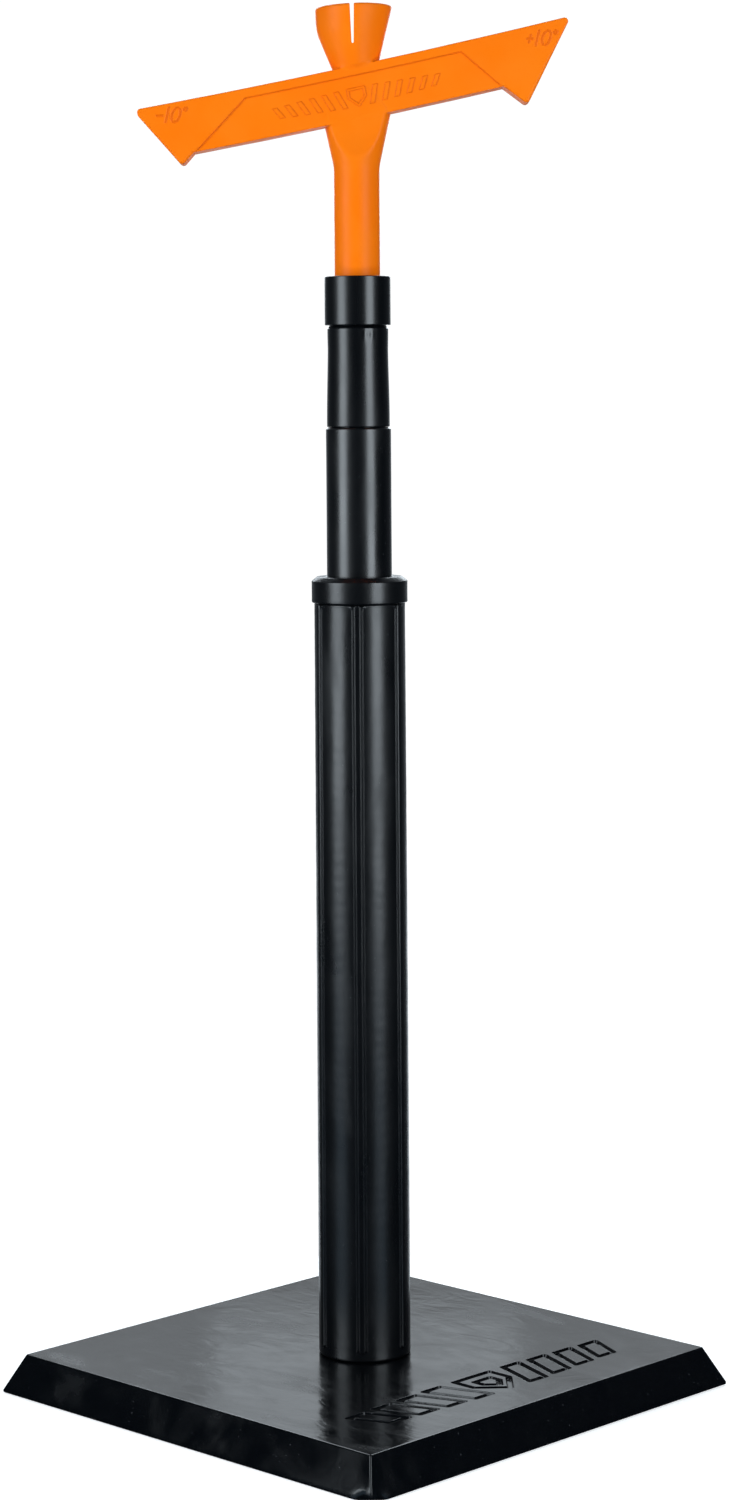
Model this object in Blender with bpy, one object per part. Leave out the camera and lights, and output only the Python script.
"""Adjustable rubber batting tee with a tilted arrow bar on its ball rest.

Metres, +Z up. The origin is on the floor, at the middle of the square base, whose sides run
along X and Y. The tee is three rigid bodies: the base with the lower tube bolted to it, the
inner tube that slides up and down in it, and the ball rest that turns in the inner tube's sleeve.
"""
import math

import bmesh
import bpy
from mathutils import Vector

# ---- Driving dimensions ----
GAP = 0.0003                        # between neighbouring solids
ROUND = 48                          # sides of a plain round piece

BASE_SIDE = 0.4064                  # underside, 16 in
BASE_TOP_SIDE = 0.3794
BASE_THICKNESS = 0.0306
BASE_LAND = 0.0022                  # upright strip below the bevelled sides
BASE_CORNER = 0.0012                 # radius of the base's upright corners
RECESS_RADIUS = 0.030               # pocket under the base for the bolt's head
RECESS_DEPTH = 0.012

TUBE_FOOT = BASE_THICKNESS + GAP
TUBE_RADIUS_FOOT = 0.0362
TUBE_RADIUS_TOP = 0.0351
TUBE_BORE = 0.0254                  # grip land that holds the inner tube
TUBE_RELIEF = 0.0285                # wider bore below the grip land
GRIP_LENGTH = 0.085
RIB_COUNT = 6
RIB_PHASE = math.radians(-49.0)
RIB_BAND = 0.0083                   # width of a rib's lower step
RIB_STRIP = 0.0042                  # width of its upper step
RIB_BAND_RISE = 0.0007
RIB_STRIP_RISE = 0.0013
RIB_BOTTOM = 0.0390
RIB_TOP = 0.6232
COLLAR_BOTTOM = 0.6247
COLLAR_TOP = 0.6448
COLLAR_RADIUS = 0.0370

PLUG_HEIGHT = 0.050
BOLT_RADIUS = 0.005                 # M10
BOLT_HOLE = 0.0055
HEX_FLATS = 0.017                   # across the flats of the bolt's head and the nut
HEAD_HEIGHT = 0.0064
NUT_HEIGHT = 0.0084
NUT_SEAT = TUBE_FOOT + 0.020
WASHER_RADIUS = 0.025
WASHER_THICKNESS = 0.0025

INNER_RADIUS = 0.0251
INNER_BORE = 0.0201
INNER_TOP = 0.7596
INNER_LENGTH = 0.430
RING_HEIGHT = 0.020
RING_SEAT = 0.0230                  # inner tube's radius under the guide ring

SLEEVE_COLLAR_BOTTOM = 0.8376
SLEEVE_COLLAR_TOP = 0.8747
SLEEVE_COLLAR_RADIUS = 0.0253
NECK_RADIUS_TOP = 0.0234
NECK_RADIUS_WAIST = 0.0232
NECK_RADIUS_FOOT = 0.0242
SPIGOT_LENGTH = 0.060
SPIGOT_BORE = 0.0140

STEM_RADIUS = 0.0174
STEM_FOOT = 0.7660
STEM_BORE = 0.0100
FLARE_BOTTOM = 0.9576
FLARE_RADIUS = 0.0270               # where the flare runs into the bar

BAR_TILT = math.radians(11.6)
BAR_TOP = 1.0336                    # height of the bar's top edge over the stem's axis
BAR_WIDTH = 0.0397
BAR_HALF = 0.015                    # half the bar's thickness
PANEL_STEP = 0.0012                 # depth of the sunk middle panel on each face
TIP_RADIUS = 0.0028
ARROW_SWIVEL = math.radians(44.25)  # the bar's direction over the base

CUP_TOP = 1.0786
CUP_FOOT_RADIUS = 0.01775
CUP_FLARE_LOW = 0.01315             # growth of the radius on the bar's lower side
CUP_FLARE_HIGH = 0.01025            # and on its higher side
CUP_BEND = 0.686                    # share of the height where the lower side turns upright
CUP_WALL = 0.0040
CUP_LIP = 0.0034
CUP_DROP = 0.0016                   # how much lower the rim is over the bar's low end


# ---- Shapes ----
def circle(radius, height, count=ROUND):
    """A level ring of points round the Z axis."""
    return [
        Vector((radius * math.cos(turn), radius * math.sin(turn), height))
        for turn in (2 * math.pi * k / count for k in range(count))
    ]


def hexagon(flats, height, count=ROUND):
    """A level six-sided ring, with as many points as a round one."""
    points = []
    for k in range(count):
        turn = 2 * math.pi * k / count
        off = (turn + math.pi / 6) % (math.pi / 3) - math.pi / 6
        radius = flats / 2 / math.cos(off)
        points.append(Vector((radius * math.cos(turn), radius * math.sin(turn), height)))
    return points


def loft(rings, looped=False):
    """Skin rings that have the same number of points. Looped rings close on the first one."""
    shape = bmesh.new()
    rows = [[shape.verts.new(point) for point in ring] for ring in rings]
    count = len(rows[0])
    pairs = list(zip(rows, rows[1:]))
    if looped:
        pairs.append((rows[-1], rows[0]))
    else:
        shape.faces.new(list(reversed(rows[0])))
        shape.faces.new(rows[-1])
    for lower, upper in pairs:
        for k in range(count):
            n = (k + 1) % count
            shape.faces.new((lower[k], lower[n], upper[n], upper[k]))
    return shape


def turned(profile, looped=True, count=ROUND):
    """A round piece from (radius, height) points, up its outside and down its bore."""
    return loft([circle(radius, height, count) for radius, height in profile], looped)


def prism(outline, half_depth):
    """An upright plate: an (x, z) outline, anticlockwise seen from the front, at -y."""
    rings = [[Vector((x, side * half_depth, z)) for x, z in outline] for side in (-1, 1)]
    return loft(rings)


def rounded(corners, radius, steps=3):
    """The corners of an outline, each replaced with an arc."""
    points = []
    for k, corner in enumerate(corners):
        here = Vector(corner)
        before = (Vector(corners[k - 1]) - here).normalized()
        after = (Vector(corners[(k + 1) % len(corners)]) - here).normalized()
        half = before.angle(after) / 2
        middle = here + (before + after).normalized() * (radius / math.sin(half))
        start = here + before * (radius / math.tan(half)) - middle
        end = here + after * (radius / math.tan(half)) - middle
        for step in range(steps + 1):
            spoke = start.lerp(end, step / steps)
            points.append(tuple(middle + spoke.normalized() * radius))
    return points


def make(name, shape, material, parent=None):
    """Turn a bmesh into a named object, smooth where it is round."""
    bmesh.ops.recalc_face_normals(shape, faces=shape.faces)
    mesh = bpy.data.meshes.new(name)
    shape.to_mesh(mesh)
    shape.free()
    mesh.materials.append(material)
    mesh.shade_smooth()
    mesh.set_sharp_from_angle(angle=math.radians(32))
    piece = bpy.data.objects.new(name, mesh)
    bpy.context.collection.objects.link(piece)
    piece.parent = parent
    return piece


def cutter(name, shape, material, parent):
    """A helper solid for a Boolean, which isn't part of the tee."""
    piece = make(name, shape, material, parent)
    piece.hide_render = True
    piece.display_type = "WIRE"
    return piece


def combine(piece, other, operation):
    """Join another solid to a piece, or cut it away."""
    step = piece.modifiers.new(other.name, "BOOLEAN")
    step.object = other
    step.operation = operation
    step.solver = "EXACT"


def finish(name, colour, roughness, metallic=0.0):
    """A plain material for one sub-part."""
    material = bpy.data.materials.new(name)
    material.use_nodes = True
    shader = material.node_tree.nodes["Principled BSDF"]
    shader.inputs["Base Color"].default_value = (*colour, 1.0)
    shader.inputs["Roughness"].default_value = roughness
    shader.inputs["Metallic"].default_value = metallic
    return material


# ---- The base, and what fastens the lower tube to it ----
def square_ring(side, height, corner=BASE_CORNER, steps=12):
    """A square ring with round corners, with one point for each side of a round piece."""
    points = []
    for k in range(4):
        turn = math.radians(90 * k)
        middle = side / 2 - corner
        for step in range(steps):
            bend = turn + math.pi / 2 * step / (steps - 1)
            x = middle * (1 if math.cos(turn + math.pi / 4) > 0 else -1) + corner * math.cos(bend)
            y = middle * (1 if math.sin(turn + math.pi / 4) > 0 else -1) + corner * math.sin(bend)
            points.append(Vector((x, y, height)))
    return points


def base_plate():
    """The slab, with a hole for the bolt and a pocket for its head."""
    rings = [
        square_ring(BASE_SIDE, 0.0),
        square_ring(BASE_SIDE, BASE_LAND),
        square_ring(BASE_TOP_SIDE, BASE_THICKNESS),
        circle(BOLT_HOLE, BASE_THICKNESS),
        circle(BOLT_HOLE, RECESS_DEPTH),
        circle(RECESS_RADIUS, RECESS_DEPTH),
        circle(RECESS_RADIUS, 0.0),
    ]
    rubber = finish("base rubber", (0.035, 0.037, 0.040), 0.45)
    return make("base_plate", loft(rings, looped=True), rubber)


def base_washer():
    """The wide washer that spreads the bolt's load, against the pocket's ceiling."""
    high = RECESS_DEPTH - GAP
    low = high - WASHER_THICKNESS
    profile = [(WASHER_RADIUS, low), (WASHER_RADIUS, high), (BOLT_HOLE, high), (BOLT_HOLE, low)]
    return make("base_washer", turned(profile), finish("washer zinc", (0.62, 0.63, 0.65), 0.35, 1.0))


def base_bolt():
    """The hex bolt, from under the washer up through the nut."""
    seat = RECESS_DEPTH - 2 * GAP - WASHER_THICKNESS
    chamfer = 0.001
    tip = NUT_SEAT + NUT_HEIGHT + 0.003
    rings = [
        hexagon(HEX_FLATS - 2 * chamfer, seat - HEAD_HEIGHT),
        hexagon(HEX_FLATS, seat - HEAD_HEIGHT + chamfer),
        hexagon(HEX_FLATS, seat),
        circle(BOLT_RADIUS, seat),
        circle(BOLT_RADIUS, tip - chamfer),
        circle(BOLT_RADIUS - chamfer, tip),
    ]
    return make("base_bolt", loft(rings), finish("bolt zinc", (0.58, 0.59, 0.61), 0.35, 1.0))


def captive_nut():
    """The nut held in the plug's hexagonal pocket."""
    low = NUT_SEAT + GAP
    high = low + NUT_HEIGHT
    bore = BOLT_RADIUS + GAP
    rings = [
        hexagon(HEX_FLATS, low),
        hexagon(HEX_FLATS, high),
        circle(bore, high),
        circle(bore, low),
    ]
    nut = finish("nut zinc", (0.60, 0.61, 0.63), 0.35, 1.0)
    return make("captive_nut", loft(rings, looped=True), nut)


def foot_plug():
    """The hard plug bonded in the lower tube's foot."""
    radius = TUBE_RELIEF - GAP
    high = TUBE_FOOT + PLUG_HEIGHT
    chamfer = 0.0015
    pocket = HEX_FLATS + 2 * GAP
    rings = [
        circle(radius, TUBE_FOOT),
        circle(radius, high - chamfer),
        circle(radius - chamfer, high),
        hexagon(pocket, high),
        hexagon(pocket, NUT_SEAT),
        circle(BOLT_HOLE, NUT_SEAT),
        circle(BOLT_HOLE, TUBE_FOOT),
    ]
    plug = finish("plug plastic", (0.05, 0.05, 0.055), 0.5)
    return make("foot_plug", loft(rings, looped=True), plug)


# ---- The lower tube ----
def panel_radius(height):
    """The lower tube's radius between the ribs, which tapers a little upwards."""
    share = (height - TUBE_FOOT) / (COLLAR_BOTTOM - TUBE_FOOT)
    return TUBE_RADIUS_FOOT + (TUBE_RADIUS_TOP - TUBE_RADIUS_FOOT) * share


def ribbed_steps(panel_sides=6):
    """Angles round the tube, each with its step: 0 panel, 1 rib's band, 2 rib's strip."""
    lean = 0.0002 / TUBE_RADIUS_FOOT
    band = RIB_BAND / 2 / TUBE_RADIUS_FOOT
    strip = RIB_STRIP / 2 / TUBE_RADIUS_FOOT
    spacing = 2 * math.pi / RIB_COUNT
    rib = [(-band - lean, 0), (-band + lean, 1), (-strip - lean, 1), (-strip + lean, 2)]
    rib += [(-angle, step) for angle, step in reversed(rib)]
    first = band + lean
    width = spacing - 2 * first
    panel = [(first + width * k / panel_sides, 0) for k in range(1, panel_sides)]
    return [
        (RIB_PHASE + spacing * n + angle, step)
        for n in range(RIB_COUNT)
        for angle, step in rib + panel
    ]


def ribbed_ring(height, panel=0.0, band=0.0, strip=0.0, radius=None):
    """A ring of the lower tube: its radius, and how far each step stands out of it."""
    base = panel_radius(height) if radius is None else radius
    rise = (panel, band, strip)
    return [
        Vector((math.cos(angle), math.sin(angle), 0)) * (base + rise[step]) + Vector((0, 0, height))
        for angle, step in ribbed_steps()
    ]


def lower_tube():
    """The thick ribbed tube, with its collar, grip land and relieved bore."""
    edge = 0.0012
    rise = {"band": RIB_BAND_RISE, "strip": RIB_STRIP_RISE}
    level = {"panel": RIB_BAND_RISE, "band": RIB_BAND_RISE, "strip": RIB_STRIP_RISE}
    land_foot = COLLAR_TOP - GRIP_LENGTH
    rings = [
        ribbed_ring(TUBE_FOOT, panel=-edge, band=-edge, strip=-edge),
        ribbed_ring(TUBE_FOOT + edge),
        ribbed_ring(RIB_BOTTOM),
        ribbed_ring(RIB_BOTTOM + edge, **rise),
        ribbed_ring(RIB_TOP, **rise),
        ribbed_ring(RIB_TOP + edge / 2, **level),
        ribbed_ring(COLLAR_BOTTOM, **level),
        ribbed_ring(COLLAR_BOTTOM, radius=COLLAR_RADIUS - 0.0005),
        ribbed_ring(COLLAR_BOTTOM + edge, radius=COLLAR_RADIUS),
        ribbed_ring(COLLAR_TOP - 0.0030, radius=COLLAR_RADIUS),
        ribbed_ring(COLLAR_TOP - 0.0009, radius=COLLAR_RADIUS - 0.0009),
        ribbed_ring(COLLAR_TOP, radius=COLLAR_RADIUS - 0.0030),
        ribbed_ring(COLLAR_TOP, radius=TUBE_BORE + edge),
        ribbed_ring(COLLAR_TOP - edge, radius=TUBE_BORE),
        ribbed_ring(land_foot, radius=TUBE_BORE),
        ribbed_ring(land_foot - 0.003, radius=TUBE_RELIEF),
        ribbed_ring(TUBE_FOOT, radius=TUBE_RELIEF),
    ]
    rubber = finish("lower tube rubber", (0.030, 0.032, 0.036), 0.38)
    return make("lower_tube", loft(rings, looped=True), rubber)


# ---- What slides in it ----
def inner_tube(parent):
    """The smooth tube, reduced at its foot for the guide ring."""
    foot = INNER_TOP - INNER_LENGTH
    edge = 0.0008
    profile = [
        (RING_SEAT, foot),
        (RING_SEAT, foot + RING_HEIGHT + GAP),
        (INNER_RADIUS, foot + RING_HEIGHT + GAP),
        (INNER_RADIUS, INNER_TOP - edge),
        (INNER_RADIUS - edge, INNER_TOP),
        (INNER_BORE, INNER_TOP),
        (INNER_BORE, foot),
    ]
    rubber = finish("inner tube rubber", (0.030, 0.032, 0.038), 0.34)
    return make("inner_tube", turned(profile), rubber, parent)


def guide_ring(parent):
    """The ring that centres the inner tube's foot in the relieved bore."""
    foot = INNER_TOP - INNER_LENGTH
    outer = TUBE_RELIEF - GAP
    edge = 0.001
    profile = [
        (outer - edge, foot),
        (outer, foot + edge),
        (outer, foot + RING_HEIGHT - edge),
        (outer - edge, foot + RING_HEIGHT),
        (RING_SEAT + GAP, foot + RING_HEIGHT),
        (RING_SEAT + GAP, foot),
    ]
    return make("guide_ring", turned(profile), finish("ring plastic", (0.75, 0.75, 0.72), 0.45), parent)


def neck_profile(steps=5):
    """The neck's outer side, which narrows to a waist below its top."""
    low = INNER_TOP + GAP
    waist = 0.8
    points = []
    for k in range(steps + 1):
        share = k / steps
        if share <= waist:
            ease = math.cos(math.pi / 2 * share / waist) ** 1.5
            radius = NECK_RADIUS_WAIST + (NECK_RADIUS_FOOT - NECK_RADIUS_WAIST) * ease
        else:
            radius = NECK_RADIUS_TOP
        points.append((radius, low + (SLEEVE_COLLAR_BOTTOM - low) * share))
    return points


def stem_sleeve(parent):
    """The rubber reducer: spigot in the inner tube, neck, and collar round the stem."""
    spigot = INNER_BORE - GAP
    low = INNER_TOP + GAP
    bore = STEM_RADIUS + GAP
    edge = 0.0007
    profile = [
        (spigot - edge, low - SPIGOT_LENGTH),
        (spigot, low - SPIGOT_LENGTH + edge),
        (spigot, low),
        *neck_profile(),
        (SLEEVE_COLLAR_RADIUS - edge, SLEEVE_COLLAR_BOTTOM),
        (SLEEVE_COLLAR_RADIUS, SLEEVE_COLLAR_BOTTOM + edge),
        (SLEEVE_COLLAR_RADIUS, SLEEVE_COLLAR_TOP - edge),
        (SLEEVE_COLLAR_RADIUS - edge, SLEEVE_COLLAR_TOP),
        (bore + edge, SLEEVE_COLLAR_TOP),
        (bore, SLEEVE_COLLAR_TOP - edge),
        (bore, STEM_FOOT - GAP),
        (SPIGOT_BORE, STEM_FOOT - GAP),
        (SPIGOT_BORE, low - SPIGOT_LENGTH),
    ]
    rubber = finish("sleeve rubber", (0.028, 0.030, 0.036), 0.36)
    return make("stem_sleeve", turned(profile), rubber, parent)


# ---- The ball rest ----
def bar_point(along, across):
    """A point of the tilted bar's face as (x, z): along the bar, and up across it."""
    x = along * math.cos(BAR_TILT) - across * math.sin(BAR_TILT)
    z = BAR_TOP + along * math.sin(BAR_TILT) + across * math.cos(BAR_TILT)
    return x, z


def arrow_bar():
    """The double-headed bar, larger at its high end, with softened edges."""
    corners = [
        (0.1670, 0.0),
        (-0.1700, 0.0),
        (-0.1700, -0.0050),
        (-0.1450, -0.0480),
        (-0.1342, -BAR_WIDTH),
        (0.1062, -BAR_WIDTH),
        (0.1214, -0.0570),
    ]
    shape = prism(rounded([bar_point(*corner) for corner in corners], TIP_RADIUS), BAR_HALF)
    rims = [edge for edge in shape.edges if abs(edge.verts[0].co.y - edge.verts[1].co.y) < GAP]
    bmesh.ops.bevel(shape, geom=rims, offset=0.0012, segments=1, affect="EDGES")
    return shape


def sunk_panel(side):
    """What is cut from the bar's front (side -1) or back (side 1) to sink its middle."""
    corners = [(0.0799, -0.0073), (-0.0876, -0.0073), (-0.1417, -0.0460), (0.1100, -0.0460)]
    outline = [bar_point(*corner) for corner in corners]
    shape = prism(outline, 0.005)
    for vert in shape.verts:
        vert.co.y += side * (BAR_HALF - PANEL_STEP + 0.005)
    return shape


def slit():
    """The tapering slot through the cup's front and back walls, with a round foot."""
    foot = Vector((-0.0024, 1.0496))
    radius = 0.0014
    arc = [math.pi + math.pi * k / 6 for k in range(7)]
    points = [(foot.x + radius * math.cos(a), foot.y + radius * math.sin(a)) for a in arc]
    high = CUP_TOP + 0.005
    return prism([*points, (-0.0009, high), (-0.0051, high)], 0.045)


def flare_ring(radius, height, half_depth=None):
    """A ring round the stem's axis, flattened front and back to a depth."""
    ring = circle(radius, height)
    if half_depth is not None:
        for point in ring:
            point.y = max(-half_depth, min(half_depth, point.y))
    return ring


def cup_ring(share, inset=0.0):
    """A ring of the cup, from its foot on the bar (0) to its rim (1).

    The foot follows the bar's tilt and the rim is level. The wall over the bar's low end leans
    out further, then turns upright.
    """
    points = []
    for k in range(ROUND):
        turn = 2 * math.pi * k / ROUND
        low = (1 - math.cos(turn)) / 2
        grow = CUP_FLARE_LOW * min(max(share, 0) / CUP_BEND, 1) * low
        grow += CUP_FLARE_HIGH * max(share, 0) * (1 - low)
        radius = CUP_FOOT_RADIUS + grow - inset
        x = radius * math.cos(turn)
        foot = BAR_TOP + x * math.tan(BAR_TILT)
        rim = CUP_TOP - CUP_DROP * low ** 2
        points.append(Vector((x, radius * math.sin(turn), foot + (rim - foot) * share)))
    return points


def stem_and_cup():
    """Stem, flare and split cup in one turned body, hollow from the cup down the stem."""
    flat = BAR_HALF - PANEL_STEP - GAP / 6
    edge = 0.001
    lip = 1 - CUP_LIP / (CUP_TOP - BAR_TOP)
    rings = [
        circle(STEM_RADIUS - edge, STEM_FOOT),
        circle(STEM_RADIUS, STEM_FOOT + edge),
        circle(STEM_RADIUS, FLARE_BOTTOM - edge),
        flare_ring(STEM_RADIUS + edge / 2, FLARE_BOTTOM + edge, flat + edge),
        flare_ring(STEM_RADIUS + edge, FLARE_BOTTOM + 3 * edge, flat),
        flare_ring(FLARE_RADIUS, 1.0000, flat),
        flare_ring(FLARE_RADIUS - 0.008, 1.0100, flat),
        flare_ring(STEM_RADIUS - 0.002, 1.0180, flat),
        cup_ring(-0.05, inset=0.0010),
        cup_ring(0.02),
        *[cup_ring(share) for share in (0.25, 0.48, CUP_BEND, 0.82)],
        cup_ring(lip),
        cup_ring(1 - 0.3 * (1 - lip), inset=0.3 * CUP_LIP),
        cup_ring(1.0, inset=CUP_LIP),
        cup_ring(1.0, inset=CUP_WALL),
        cup_ring(lip, inset=CUP_WALL + edge / 2),
        cup_ring(CUP_BEND, inset=CUP_WALL + edge / 2),
        cup_ring(0.05, inset=CUP_WALL + edge / 2),
        circle(STEM_BORE, 1.0250),
        circle(STEM_BORE, STEM_FOOT),
    ]
    return loft(rings, looped=True)


def ball_rest(parent):
    """The flexible one-piece moulding that holds the ball and shows the swing angle."""
    orange = finish("orange thermoplastic rubber", (1.0, 0.22, 0.012), 0.42)
    rest = make("ball_rest", stem_and_cup(), orange, parent)
    combine(rest, cutter("bar_form", arrow_bar(), orange, parent), "UNION")
    for name, side in (("front_sink", -1), ("back_sink", 1)):
        combine(rest, cutter(name, sunk_panel(side), orange, parent), "DIFFERENCE")
    combine(rest, cutter("slit_form", slit(), orange, parent), "DIFFERENCE")
    return rest


# ---- The assembly ----
def joint_axis(name, turn=0.0, parent=None):
    """An empty on a joint's axis, which the pieces that move on it hang from."""
    axis = bpy.data.objects.new(name, None)
    axis.rotation_euler = (0.0, 0.0, turn)
    axis.parent = parent
    bpy.context.collection.objects.link(axis)
    return axis


def build():
    for item in list(bpy.data.objects):
        bpy.data.objects.remove(item, do_unlink=True)
    base_plate()
    base_washer()
    base_bolt()
    captive_nut()
    foot_plug()
    lower_tube()
    height_axis = joint_axis("height_axis")
    inner_tube(height_axis)
    guide_ring(height_axis)
    stem_sleeve(height_axis)
    swivel_axis = joint_axis("swivel_axis", ARROW_SWIVEL, height_axis)
    ball_rest(swivel_axis)


build()
